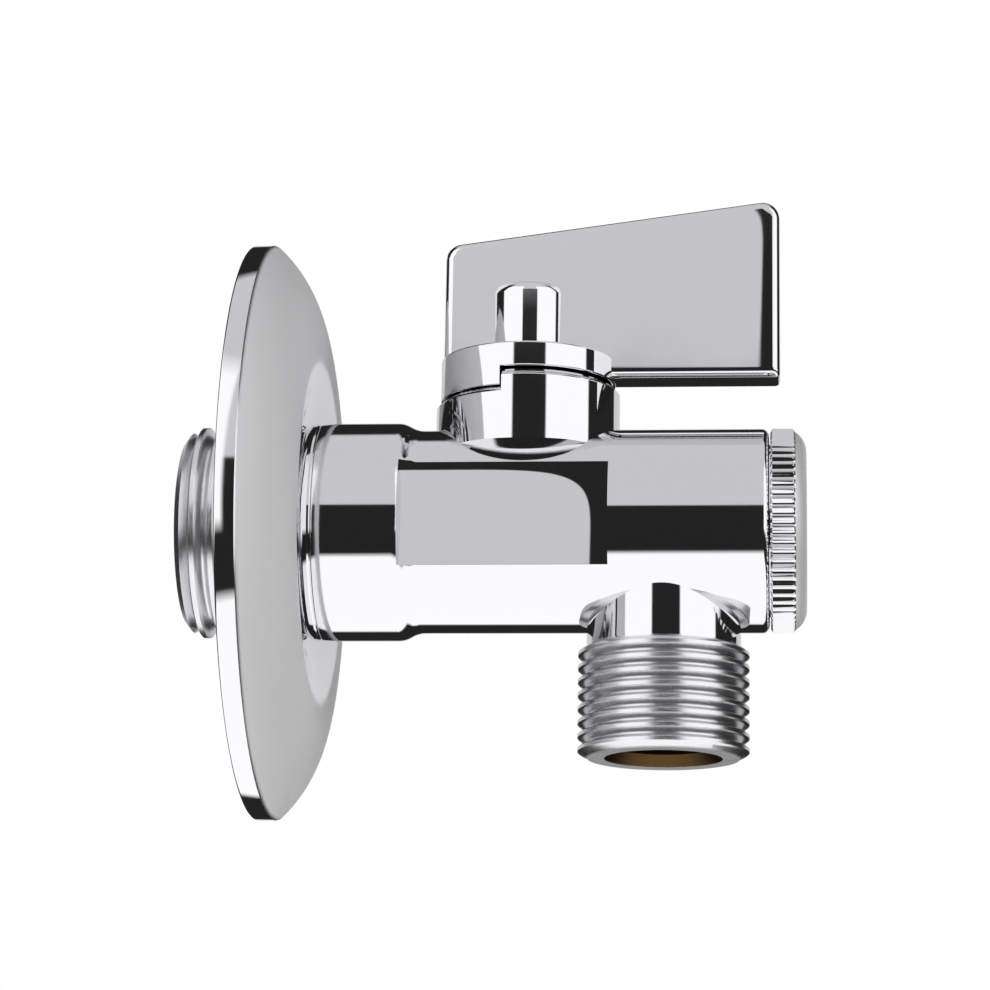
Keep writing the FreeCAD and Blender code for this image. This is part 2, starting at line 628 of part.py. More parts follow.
# --------------------------------------------------------------- wall flange
def make_wall_flange():
    """Spun rosette: rolled lip, full crest and a dished middle that seats against the nose."""
    crest_r, hole_r, rim_r = FLANGE_CREST_D / 2, FLANGE_HOLE_D / 2, FLANGE_D / 2
    inner_run = crest_r - hole_r
    inner_drop = FLANGE_CREST_X - FLANGE_HOLE_EDGE_X
    inner_arc_r = (inner_run ** 2 + inner_drop ** 2) / (2 * inner_drop)
    outer_run = rim_r - crest_r
    outer_drop = FLANGE_CREST_X - FLANGE_LIP_X
    outer_arc_r = (outer_run ** 2 + outer_drop ** 2) / (2 * outer_drop)

    def on_arc(arc_r, run, skin, side):
        """Point of an arc about the crest, run away from it, skin below the outer face."""
        reach = arc_r - skin
        return at(FLANGE_CREST_X - arc_r + math.sqrt(reach ** 2 - run ** 2), crest_r + side * run)

    rim_run = outer_run - FLANGE_WALL
    skin_crest = at(FLANGE_CREST_X - FLANGE_WALL, crest_r)
    crest = at(FLANGE_CREST_X, crest_r)
    hole_out, hole_in = on_arc(inner_arc_r, inner_run, 0, -1), on_arc(inner_arc_r, inner_run, FLANGE_WALL, -1)
    lip_out, lip_in = on_arc(outer_arc_r, outer_run, 0, 1), on_arc(outer_arc_r, rim_run, FLANGE_WALL, 1)
    outline = [
        arc(hole_out, on_arc(inner_arc_r, inner_run / 2, 0, -1), crest),
        arc(crest, on_arc(outer_arc_r, outer_run / 2, 0, 1), lip_out),
    ]
    outline += lines([lip_out, at(0.2, rim_r), at(0, rim_r - 0.2), at(0, rim_r - FLANGE_WALL), lip_in])
    outline += [
        arc(lip_in, on_arc(outer_arc_r, rim_run / 2, FLANGE_WALL, 1), skin_crest),
        arc(skin_crest, on_arc(inner_arc_r, inner_run / 2, FLANGE_WALL, -1), hole_in),
    ]
    outline += lines([hole_in, hole_out])
    return turned(outline)


def all_parts():
    parts = {
        "valve_body": make_valve_body(),
        "wall_flange": make_wall_flange(),
        "ball": make_ball(),
        "inlet_seat": make_seat(-1),
        "outlet_seat": make_seat(1),
        "inlet_seat_ring": make_seat_ring(-1),
        "outlet_seat_ring": make_seat_ring(1),
        "seat_retainer": make_seat_retainer(),
        "stem": make_stem(),
        "stem_thrust_washer": make_thrust_washer(),
        "stem_ring_lower": make_stem_ring(STEM_RING_Z[0]),
        "stem_ring_upper": make_stem_ring(STEM_RING_Z[1]),
        "lever_handle": make_lever_handle(),
        "handle_grub_screw": make_grub_screw(),
        "end_cap": make_end_cap(),
        "end_cap_ring": make_cap_ring(),
        "strainer_screen": make_strainer_screen(),
        "strainer_collar": make_strainer_collar(),
    }
    return parts


os.makedirs("parts", exist_ok=True)
for name, shape in all_parts().items():
    shape.exportStep("parts/" + name + ".step")
    print(name, "solids", len(shape.Solids), "valid", shape.isValid(), "volume", round(shape.Volume, 2))
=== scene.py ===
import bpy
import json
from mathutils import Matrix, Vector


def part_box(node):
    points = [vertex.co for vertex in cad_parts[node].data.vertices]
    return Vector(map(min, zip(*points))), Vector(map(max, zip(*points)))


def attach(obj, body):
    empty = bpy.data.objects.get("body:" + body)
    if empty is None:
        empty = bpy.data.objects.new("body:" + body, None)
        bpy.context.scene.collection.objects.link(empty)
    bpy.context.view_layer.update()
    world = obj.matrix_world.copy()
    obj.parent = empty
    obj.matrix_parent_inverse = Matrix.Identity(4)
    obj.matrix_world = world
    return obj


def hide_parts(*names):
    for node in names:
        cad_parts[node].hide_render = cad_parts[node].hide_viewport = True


bl_info = {
    "name": "Angle Stop Valve",
    "version": (1, 0, 0),
    "blender": (4, 5, 0),
    "location": "View3D > Sidebar > Stop Valve",
    "description": "Finishes a chrome-plated quarter-turn angle stop valve on its fixed CAD frame",
    "category": "Object",
}

import json
import math

import bmesh
import bpy
import numpy as np
from mathutils import Matrix, Vector

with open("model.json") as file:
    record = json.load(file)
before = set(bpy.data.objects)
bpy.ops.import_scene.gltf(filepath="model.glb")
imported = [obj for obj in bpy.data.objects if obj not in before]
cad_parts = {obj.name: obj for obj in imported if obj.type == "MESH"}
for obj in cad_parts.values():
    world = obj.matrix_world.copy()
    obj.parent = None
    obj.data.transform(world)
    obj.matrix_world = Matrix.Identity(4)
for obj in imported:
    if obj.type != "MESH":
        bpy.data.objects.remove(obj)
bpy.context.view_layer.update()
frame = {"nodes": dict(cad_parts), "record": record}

MM = 0.001
ROSETTE_LOW, ROSETTE_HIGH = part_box("wall_flange")
CAP_LOW, CAP_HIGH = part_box("end_cap")
STEM_LOW, STEM_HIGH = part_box("stem")
STEM_X = (STEM_LOW.x + STEM_HIGH.x) / 2
LEVER_LOW, LEVER_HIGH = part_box("lever_handle")
LEVER_RISE = (28.9 * MM, 33.4 * MM)  # height of the plate's top edge at its two ends
BARREL_END_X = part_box("valve_body")[1].x
OUTLET_X = next(m["pos_m"][0] for m in frame["record"]["mounts"] if m["name"] == "outlet_thread")


# ------------------------------------------------------------------- settings
class StopValveSizes(bpy.types.PropertyGroup):
    rosette_crest_diameter: bpy.props.FloatProperty(
        name="Rosette crest", description="Diameter of the ring where the spun rosette stands highest",
        default=0.037, min=0.03, max=0.045, subtype="DISTANCE", unit="LENGTH")
    rosette_hole_diameter: bpy.props.FloatProperty(
        name="Rosette hole", description="Hole that the inlet spigot passes through",
        default=0.0212, min=0.021, max=0.0215, subtype="DISTANCE", unit="LENGTH")
    rosette_wall: bpy.props.FloatProperty(
        name="Rosette wall", description="Thickness of the spun brass sheet",
        default=0.0007, min=0.0004, max=0.001, subtype="DISTANCE", unit="LENGTH")
    rosette_lip: bpy.props.FloatProperty(
        name="Rosette lip", description="Width of the straight rim next to the wall",
        default=0.0019, min=0.001, max=0.003, subtype="DISTANCE", unit="LENGTH")
    rosette_dish: bpy.props.FloatProperty(
        name="Rosette dish", description="How far the hole's edge lies below the crest",
        default=0.00175, min=0.001, max=0.003, subtype="DISTANCE", unit="LENGTH")
    knurl_teeth: bpy.props.IntProperty(
        name="Knurl teeth", description="Teeth round the end cap", default=66, min=24, max=120)
    knurl_depth: bpy.props.FloatProperty(
        name="Knurl depth", description="Depth of the grooves between the teeth",
        default=0.00032, min=0.0001, max=0.0006, subtype="DISTANCE", unit="LENGTH")
    knurl_length: bpy.props.FloatProperty(
        name="Knurl length", description="Length of the knurled band along the cap",
        default=0.0024, min=0.001, max=0.003, subtype="DISTANCE", unit="LENGTH")


class StopValveFinish(bpy.types.PropertyGroup):
    chrome: bpy.props.StringProperty(
        name="Chrome", description="Reflected colour of decorative chrome plate, as sRGB hex",
        default="#E6E6E8")
    waterway: bpy.props.StringProperty(
        name="Waterway", description="Colour of the unplated, dulled brass in the bores, as sRGB hex",
        default="#6B5334")
    brass: bpy.props.StringProperty(
        name="Brass", description="Colour of turned, unplated brass, as sRGB hex", default="#C9A45C")
    plate_roughness: bpy.props.FloatProperty(
        name="Polish", description="Roughness of the buffed plate", default=0.045, min=0.0, max=0.5,
        subtype="FACTOR")
    peel_height: bpy.props.FloatProperty(
        name="Orange peel", description="Height of the faint waviness left by buffing",
        default=0.0000006, min=0.0, max=0.00001, precision=7, subtype="DISTANCE", unit="LENGTH")


class StopValveStudio(bpy.types.PropertyGroup):
    camera_azimuth: bpy.props.FloatProperty(
        name="Azimuth", description="Turn of the camera round the valve, towards its end cap",
        default=math.radians(4.9), subtype="ANGLE", unit="ROTATION")
    camera_elevation: bpy.props.FloatProperty(
        name="Elevation", description="Height of the camera over the barrel; below zero looks up",
        default=math.radians(-13.0), subtype="ANGLE", unit="ROTATION")
    camera_roll: bpy.props.FloatProperty(
        name="Roll", description="Turn of the camera about its own line of sight",
        default=math.radians(0.85), subtype="ANGLE", unit="ROTATION")
    camera_distance: bpy.props.FloatProperty(
        name="Distance", description="From the camera to the point it aims at",
        default=0.340, subtype="DISTANCE", unit="LENGTH")
    camera_aim: bpy.props.FloatVectorProperty(
        name="Aim", description="Point in the middle of the view",
        default=(0.0233, 0.0, 0.00375), size=3, subtype="XYZ", unit="LENGTH")
    view_width: bpy.props.FloatProperty(
        name="View width", description="Width of the view at the point aimed at",
        default=0.0977, subtype="DISTANCE", unit="LENGTH")
    floor_height: bpy.props.FloatProperty(
        name="Floor", description="Height of the pale floor",
        default=-0.12, subtype="DISTANCE", unit="LENGTH")


# ------------------------------------------------------------------ mesh tools
def arc_through(a, via, b, steps):
    """Points of the circle arc from a over via to b, as an array of (x, r) rows.

    The centre is where the perpendicular bisectors of the two chords meet.
    """
    a, via, b = (np.array(p, float) for p in (a, via, b))
    rows = np.array([via - a, b - a])
    centre = a + np.linalg.solve(rows, (rows ** 2).sum(1) / 2)
    spokes = np.array([a, via, b]) - centre
    turn = np.unwrap(np.arctan2(spokes[:, 1], spokes[:, 0]))
    radius = np.linalg.norm(spokes[0])
    angles = np.linspace(turn[0], turn[2], steps)
    return centre + radius * np.stack([np.cos(angles), np.sin(angles)], 1)


def outline(*parts):
    """One profile from points and arcs, with repeated points left out."""
    rows = np.concatenate([np.atleast_2d(np.array(p, float)) for p in parts])
    keep = np.ones(len(rows), bool)
    keep[1:] = np.linalg.norm(np.diff(rows, axis=0), axis=1) > 1e-9
    return rows[keep]


def put_mesh(name, points, faces):
    """A mesh object at the origin from points in metres; doubles merge and poles close."""
    mesh = bpy.data.meshes.new(name)
    mesh.from_pydata(points.reshape(-1, 3), [], faces)
    shell = bmesh.new()
    shell.from_mesh(mesh)
    bmesh.ops.remove_doubles(shell, verts=shell.verts, dist=1e-8)
    bmesh.ops.recalc_face_normals(shell, faces=shell.faces)
    shell.to_mesh(mesh)
    shell.free()
    mesh.shade_smooth()
    mesh.set_sharp_from_angle(angle=math.radians(26))
    piece = bpy.data.objects.new(name, mesh)
    bpy.context.scene.collection.objects.link(piece)
    return piece


def turned_piece(name, profile, around, closed, shape=None):
    """Surface of revolution about the x axis: point(i, a) = (x_i, r_i cos a, r_i sin a).

    profile holds rows (x, r). shape(x, r, a), if given, returns the radius of every grid point.
    A closed profile is a ring such as a rosette; an open one starts and ends on the axis.
    """
    x, a = np.meshgrid(profile[:, 0], np.arange(around) * 2 * math.pi / around, indexing="ij")
    r = np.repeat(profile[:, 1:2], around, axis=1)
    if shape:
        r = shape(x, r, a)
    points = np.stack([x, r * np.cos(a), r * np.sin(a)], -1)
    count = len(profile)
    rows = np.arange(count if closed else count - 1)[:, None]
    cols = np.arange(around)[None, :]
    below, right = (rows + 1) % count, (cols + 1) % around
    faces = np.stack([rows * around + cols, rows * around + right, below * around + right,
                      below * around + cols], -1).reshape(-1, 4)
    return put_mesh(name, points, faces.tolist())


def polished_copy(node, name, axes):
    """Merged copy of a CAD node with true normals, for a mirror finish.

    Every corner takes the area-weighted mean of the faces round its point that lie within
    26 degrees of its own face. On a cylinder about one of the axes it is the spoke instead, and
    on any other surface turned about it the sideways part of that mean is taken out:
    n - (n . t) t, with t the unit tangent of the turn.
    axes holds (kind, centre, reach): kind "x" or "z", the axis' place, and a test for the region.
    """
    mesh = frame["nodes"][node].data.copy()
    mesh.name = name
    shell = bmesh.new()
    shell.from_mesh(mesh)
    bmesh.ops.remove_doubles(shell, verts=shell.verts, dist=3e-7)
    bmesh.ops.triangulate(shell, faces=shell.faces)
    shell.to_mesh(mesh)
    shell.free()
    if "custom_normal" in mesh.attributes:
        mesh.attributes.remove(mesh.attributes["custom_normal"])
    mesh.shade_smooth()

    place = np.zeros(len(mesh.vertices) * 3, np.float32)
    mesh.vertices.foreach_get("co", place)
    place = place.reshape(-1, 3).astype(float)
    corner = np.zeros(len(mesh.loops), np.int32)
    mesh.loops.foreach_get("vertex_index", corner)
    tri = corner.reshape(-1, 3)
    p = place[tri]
    cross = np.cross(p[:, 1] - p[:, 0], p[:, 2] - p[:, 0])
    size = np.linalg.norm(cross, axis=1)
    flat = cross / np.maximum(size, 1e-20)[:, None]
    own, weight = np.repeat(flat, 3, axis=0), np.repeat(size, 3)

    order = np.argsort(corner, kind="stable")
    ranked = corner[order]
    starts = np.searchsorted(ranked, ranked)
    counts = np.searchsorted(ranked, ranked, side="right") - starts
    local = np.arange(len(order)) - starts
    near = math.cos(math.radians(26))
    total = np.zeros((len(order), 3))
    mine = own[order]
    for k in range(int(counts.max())):
        use = k < counts
        partner = order[starts + (local + k) % counts]
        close = use & ((own[partner] * mine).sum(1) > near)
        total[close] += own[partner[close]] * weight[partner[close], None]
    normal = np.zeros_like(total)
    normal[order] = total
    normal /= np.maximum(np.linalg.norm(normal, axis=1), 1e-20)[:, None]

    middle = p.mean(1)
    settled = np.zeros(len(tri), bool)
    for kind, centre, region in axes:
        lane = [1, 2] if kind == "x" else [0, 1]
        hub = np.array(centre)
        arm = middle[:, lane] - hub
        arm /= np.maximum(np.linalg.norm(arm, axis=1), 1e-12)[:, None]
        tangent = np.stack([-arm[:, 1], arm[:, 0]], 1)
        sideways = np.abs((flat[:, lane] * tangent).sum(1))
        radii = np.linalg.norm(p[:, :, lane] - hub, axis=2)
        upright = np.abs((flat[:, lane] * arm).sum(1))
        bulge = radii.mean(1) - np.linalg.norm(middle[:, lane] - hub, axis=1)
        round_wall = (np.ptp(radii, axis=1) < 2.5e-5) & (bulge < 3e-5) & (upright > 0.9)
        turned_face = (round_wall | (sideways < 0.05) & region(middle)) & ~settled
        settled |= turned_face
        pick = np.repeat(turned_face, 3)
        spoke = place[corner[pick]][:, lane] - hub
        spoke /= np.maximum(np.linalg.norm(spoke, axis=1), 1e-12)[:, None]
        side = np.stack([-spoke[:, 1], spoke[:, 0]], 1)
        part = normal[pick]
        part[:, lane] -= (part[:, lane] * side).sum(1)[:, None] * side
        facing = np.sign((np.repeat(flat, 3, axis=0)[pick][:, lane] * spoke).sum(1))
        straight = np.zeros_like(part)
        straight[:, lane] = spoke * facing[:, None]
        part = np.where(np.repeat(round_wall, 3)[pick][:, None], straight, part)
        normal[pick] = part / np.linalg.norm(part, axis=1)[:, None]
    mesh.normals_split_custom_set(normal.tolist())
    piece = bpy.data.objects.new(name, mesh)
    bpy.context.scene.collection.objects.link(piece)
    return piece


def settle(piece, body, slot, material, *nodes):
    """The piece rides on its body, takes its finish, and stands for the CAD nodes named."""
    piece.data.materials.clear()
    piece.data.materials.append(material)
    if nodes:
        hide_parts(*nodes)
    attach(piece, body)


# ------------------------------------------------------------------- materials
def linear(hex_colour):
    """sRGB hex to linear RGBA."""
    values = [int(hex_colour[i:i + 2], 16) / 255 for i in (1, 3, 5)]
    return [v / 12.92 if v <= 0.04045 else ((v + 0.055) / 1.055) ** 2.4 for v in values] + [1.0]


def add(tree, kind, links=(), **settings):
    """Adds a node. links holds (input, node, output); settings are properties or input values."""
    node = tree.nodes.new(kind)
    values = settings.pop("inputs", {})
    for key, value in settings.items():
        setattr(node, key, value)
    for key, value in values.items():
        node.inputs[key].default_value = value
    for key, source, output in links:
        tree.links.new(source.outputs[output], node.inputs[key])
    return node


def new_material(name, **shader_inputs):
    """A material with a Principled shader; returns the material, its tree and the shader."""
    material = bpy.data.materials.new(name)
    material.use_nodes = True
    tree = material.node_tree
    tree.nodes.clear()
    shader = add(tree, "ShaderNodeBsdfPrincipled", inputs=shader_inputs)
    add(tree, "ShaderNodeOutputMaterial", [("Surface", shader, "BSDF")])
    return material, tree, shader


def reach_from(tree, place, centre, lanes):
    """Distance in metres from an axis that runs along the lane left out of lanes, through centre."""
    moved = add(tree, "ShaderNodeVectorMath", [(0, place, "Object")], operation="SUBTRACT",
                inputs={1: centre})
    keep = [float(lane in lanes) for lane in "XYZ"]
    flat = add(tree, "ShaderNodeVectorMath", [(0, moved, 0)], operation="MULTIPLY", inputs={1: keep})
    return add(tree, "ShaderNodeVectorMath", [(0, flat, 0)], operation="LENGTH")


def step_mask(tree, source, output, start, stop):
    """0 before start, 1 after stop, with a soft step between them; stop may come before start."""
    return add(tree, "ShaderNodeMapRange", [("Value", source, output)], interpolation_type="SMOOTHSTEP",
               inputs={"From Min": start, "From Max": stop})


def rounded_panel(tree, u, v, power):
    """Superellipse |u|^p + |v|^p, which is 1 on the outline; u and v are (node, output, centre, reach)."""
    total = None
    for source, output, centre, reach in (u, v):
        offset = add(tree, "ShaderNodeMath", [(0, source, output)], operation="SUBTRACT", inputs={1: centre})
        share = add(tree, "ShaderNodeMath", [(0, offset, 0)], operation="DIVIDE", inputs={1: reach})
        size = add(tree, "ShaderNodeMath", [(0, share, 0)], operation="ABSOLUTE")
        raised = add(tree, "ShaderNodeMath", [(0, size, 0)], operation="POWER", inputs={1: power})
        total = raised if total is None else add(tree, "ShaderNodeMath", [(0, total, 0), (1, raised, 0)])
    return total


def lean_normal(tree, place, share, tilt):
    """Normal of a face that looks along y, leaned upwards by tilt radians times share."""
    facing = add(tree, "ShaderNodeSeparateXYZ", [("Vector", place, "Normal")])
    side = add(tree, "ShaderNodeMath", [(0, facing, "Y")], operation="ABSOLUTE")
    flat = step_mask(tree, side, 0, 0.985, 0.995)
    amount = add(tree, "ShaderNodeMath", [(0, share, 0), (1, flat, 0)], operation="MULTIPLY")
    up = add(tree, "ShaderNodeVectorMath", [("Scale", amount, 0)], operation="SCALE",
             inputs={0: (0, 0, tilt)})
    surface = add(tree, "ShaderNodeNewGeometry")
    leaning = add(tree, "ShaderNodeVectorMath", [(0, surface, "Normal"), (1, up, 0)], operation="ADD")
    return add(tree, "ShaderNodeVectorMath", [(0, leaning, 0)], operation="NORMALIZE")


def make_chrome(name, finish, roughness=None, marks=None, dull=None, dull_roughness=0.3, bare=None,
                lean=None, pearl=0.0):
    """Bright nickel-chrome plate, buffed: a clear mirror with a faint waviness and wiping haze.

    dull(tree, place) gives a mask where the plate lies on an unbuffed surface, and bare(tree, place)
    one where there is no plate, such as inside a waterway. pearl is how much of the light a brushed
    grain scatters every way. lean(tree, place) gives the normal that the waviness starts from,
    where the buffing wheel has rounded a flat face.
    """
    rough = finish.plate_roughness if roughness is None else roughness
    material, tree, shader = new_material(name, Metallic=1.0)
    shader.inputs["Base Color"].default_value = linear(finish.chrome)
    place = add(tree, "ShaderNodeTexCoord")
    # 9 mm patches of haze, such as a cloth leaves
    haze = add(tree, "ShaderNodeTexNoise", [("Vector", place, "Object")],
               inputs={"Scale": 1 / (9 * MM), "Detail": 3.0, "Roughness": 0.6})
    spread = add(tree, "ShaderNodeMapRange", [("Value", haze, "Fac")],
                 inputs={"From Min": 0.35, "From Max": 0.7, "To Min": rough * 0.75, "To Max": rough * 1.5})
    matt = spread
    if dull:
        satin = add(tree, "ShaderNodeMapRange", [("Value", haze, "Fac")],
                    inputs={"To Min": dull_roughness * 0.85, "To Max": dull_roughness * 1.15})
        mask = dull(tree, place)
        matt = add(tree, "ShaderNodeMix", [("Factor", mask, 0), (2, spread, 0), (3, satin, 0)])
        if pearl:
            metal = add(tree, "ShaderNodeMapRange", [("Value", mask, 0)],
                        inputs={"To Min": 1.0, "To Max": 1 - pearl})
            tree.links.new(metal.outputs[0], shader.inputs["Metallic"])
    if bare:
        metal = bare(tree, place)
        matt = add(tree, "ShaderNodeMix", [("Factor", metal, 0), (2, matt, 0)], inputs={3: 0.45})
        tint = add(tree, "ShaderNodeMix", [("Factor", metal, 0)], data_type="RGBA",
                   inputs={6: linear(finish.chrome), 7: linear(finish.waterway)})
        tree.links.new(tint.outputs[2], shader.inputs["Base Color"])
    tree.links.new(matt.outputs[0], shader.inputs["Roughness"])
    # 1.6 mm waviness from the buffing wheel
    wave = add(tree, "ShaderNodeTexNoise", [("Vector", place, "Object")],
               inputs={"Scale": 1 / (1.6 * MM), "Detail": 1.0, "Roughness": 0.4})
    bump = add(tree, "ShaderNodeBump", [("Height", wave, "Fac")],
               inputs={"Strength": 1.0, "Distance": finish.peel_height})
    if lean:
        tree.links.new(lean(tree, place).outputs[0], bump.inputs["Normal"])
    if marks:
        bump = marks(tree, place, bump)
    tree.links.new(bump.outputs["Normal"], shader.inputs["Normal"])
    return material


def make_plain(name, colour, metallic, roughness, grain, grain_height, **inputs):
    """One finish with a fine grain in its colour, roughness and bump, at the grain's real size."""
    material, tree, shader = new_material(name, Metallic=metallic, **inputs)
    place = add(tree, "ShaderNodeTexCoord")
    noise = add(tree, "ShaderNodeTexNoise", [("Vector", place, "Object")],
                inputs={"Scale": 1 / grain, "Detail": 4.0, "Roughness": 0.6})
    base = linear(colour)
    ramp = add(tree, "ShaderNodeValToRGB", [("Fac", noise, "Fac")])
    ramp.color_ramp.elements[0].position = 0.3
    ramp.color_ramp.elements[1].position = 0.7
    ramp.color_ramp.elements[0].color = [c * 0.88 for c in base[:3]] + [1]
    ramp.color_ramp.elements[1].color = [min(1.0, c * 1.08) for c in base[:3]] + [1]
    tree.links.new(ramp.outputs["Color"], shader.inputs["Base Color"])
    spread = add(tree, "ShaderNodeMapRange", [("Value", noise, "Fac")],
                 inputs={"From Min": 0.3, "From Max": 0.7,
                         "To Min": roughness * 0.85, "To Max": roughness * 1.15})
    tree.links.new(spread.outputs["Result"], shader.inputs["Roughness"])
    bump = add(tree, "ShaderNodeBump", [("Height", noise, "Fac")],
               inputs={"Strength": 1.0, "Distance": grain_height})
    tree.links.new(bump.outputs["Normal"], shader.inputs["Normal"])
    return material


# ---------------------------------------------------------------------- pieces
class STOPVALVE_OT_rosette(bpy.types.Operator):
    """Make the spun wall rosette"""
    bl_idname = "stop_valve.rosette"
    bl_label = "Wall rosette"

    def execute(self, context):
        size, finish = context.scene.stop_valve_sizes, context.scene.stop_valve_finish
        low, high = ROSETTE_LOW.x, ROSETTE_HIGH.x
        rim, crest_r = ROSETTE_HIGH.z, size.rosette_crest_diameter / 2
        hole, wall, lip, dish = (size.rosette_hole_diameter / 2, size.rosette_wall, size.rosette_lip,
                                 size.rosette_dish)
        inner, outer = crest_r - hole, rim - crest_r
        inner_arc = (inner ** 2 + dish ** 2) / (2 * dish)
        outer_drop = high - low - lip
        outer_arc = (outer ** 2 + outer_drop ** 2) / (2 * outer_drop)

        def skin(arc_r, depth, start, stop, steps):
            """Rows (x, r) on an arc about the crest, depth below the outer face."""
            run = np.linspace(start, stop, steps)
            return np.stack([high - arc_r + np.sqrt((arc_r - depth) ** 2 - run ** 2), crest_r + run], 1)

        edge = 0.2 * MM
        rim_round = arc_through((low + edge, rim), (low + edge * 0.3, rim - edge * 0.3), (low, rim - edge), 6)
        profile = outline(
            skin(inner_arc, 0, -inner, 0, 28), skin(outer_arc, 0, 0, outer, 44), rim_round,
            (low, rim - wall), skin(outer_arc, wall, outer - wall, 0, 30),
            skin(inner_arc, wall, 0, -inner, 20))
        piece = turned_piece("rosette", profile, 288, closed=True)

        def brushed_dome(tree, place):
            """The dome between the dish and the lip keeps a fine brushed face."""
            reach = reach_from(tree, place, (0, 0, 0), "YZ")
            dome = step_mask(tree, reach, "Value", crest_r - 2.5 * MM, crest_r - 0.6 * MM)
            split = add(tree, "ShaderNodeSeparateXYZ", [("Vector", place, "Object")])
            above_lip = step_mask(tree, split, "X", low + lip - 0.05 * MM, low + lip + 0.35 * MM)
            return add(tree, "ShaderNodeMath", [(0, dome, 0), (1, above_lip, 0)], operation="MULTIPLY")

        chrome = make_chrome("chrome_on_spun_brass", finish, dull=brushed_dome, dull_roughness=0.6,
                             pearl=0.75)
        settle(piece, "rosette", "flange_chrome", chrome, "wall_flange")
        return {"FINISHED"}


class STOPVALVE_OT_end_cap(bpy.types.Operator):
    """Make the knurled end cap"""
    bl_idname = "stop_valve.end_cap"
    bl_label = "Knurled end cap"

    def execute(self, context):
        size, finish = context.scene.stop_valve_sizes, context.scene.stop_valve_finish
        head, end = BARREL_END_X + 0.1 * MM, CAP_HIGH.x
        knurl_end = head + size.knurl_length
        r, face_r, thread_r = 10.0 * MM, 7.8 * MM, 8.45 * MM
        crown = arc_through((knurl_end, r - size.knurl_depth), (end - 0.42 * MM, face_r + 1.25 * MM),
                            (end, face_r), 22)
        start = CAP_LOW.x
        groove = thread_r - 1.29 * MM
        profile = outline(
            (start, 6.3 * MM), (start, thread_r - 0.4 * MM), (start + 0.4 * MM, thread_r),
            (head - 2.0 * MM, thread_r), (head - 2.0 * MM, groove), (head - 0.5 * MM, groove),
            (head - 0.5 * MM, thread_r), (head, thread_r), (head, r - size.knurl_depth - 0.1 * MM),
            (head + 0.2 * MM, r - 0.02 * MM), (head + 0.3 * MM, r), (knurl_end - 0.35 * MM, r),
            (knurl_end - 0.12 * MM, r - 0.1 * MM), crown,
            (end, face_r - 0.15 * MM), (end, 0.0))
        room = outline((end - 1.8 * MM, 0.0), (end - 1.8 * MM, 6.3 * MM))
        profile = np.concatenate([room, profile])
        teeth, depth = size.knurl_teeth, size.knurl_depth

        def knurled(x, radius, turn):
            """A land over 12% of each pitch, then a rounded valley, faded out at the band's ends."""
            share = (turn * teeth / (2 * math.pi)) % 1.0
            valley = np.sin(math.pi * np.clip((share - 0.06) / 0.88, 0, 1)) ** 0.8
            on_band = (radius > r - depth * 1.4) & (x >= head - 1e-9)
            return np.where(on_band, np.minimum(radius, r - depth * valley), radius)

        piece = turned_piece("end_cap_turned", profile, teeth * 10, closed=False, shape=knurled)

        def lathe_rings(tree, place, bump):
            """0.3 mm rings that the facing tool left on the cap's end, drawn a little coarse to show."""
            reach = reach_from(tree, place, (0, 0, 0), "YZ")
            ring = add(tree, "ShaderNodeMath", [(0, reach, "Value")], operation="MULTIPLY",
                       inputs={1: 2 * math.pi / (0.3 * MM)})
            swell = add(tree, "ShaderNodeMath", [(0, ring, 0)], operation="SINE")
            return add(tree, "ShaderNodeBump", [("Height", swell, 0), ("Normal", bump, "Normal")],
                       inputs={"Strength": 1.0, "Distance": 0.0008 * MM})

        def turned_end(tree, place):
            """The crown and the end face are turned, not buffed."""
            split = add(tree, "ShaderNodeSeparateXYZ", [("Vector", place, "Object")])
            return step_mask(tree, split, "X", knurl_end - 0.05 * MM, knurl_end + 0.1 * MM)

        chrome = make_chrome("chrome_on_turned_cap", finish, 0.12, lathe_rings, turned_end, 0.45,
                             pearl=0.6)
        settle(piece, "cap", "cap_chrome", chrome, "end_cap")
        return {"FINISHED"}


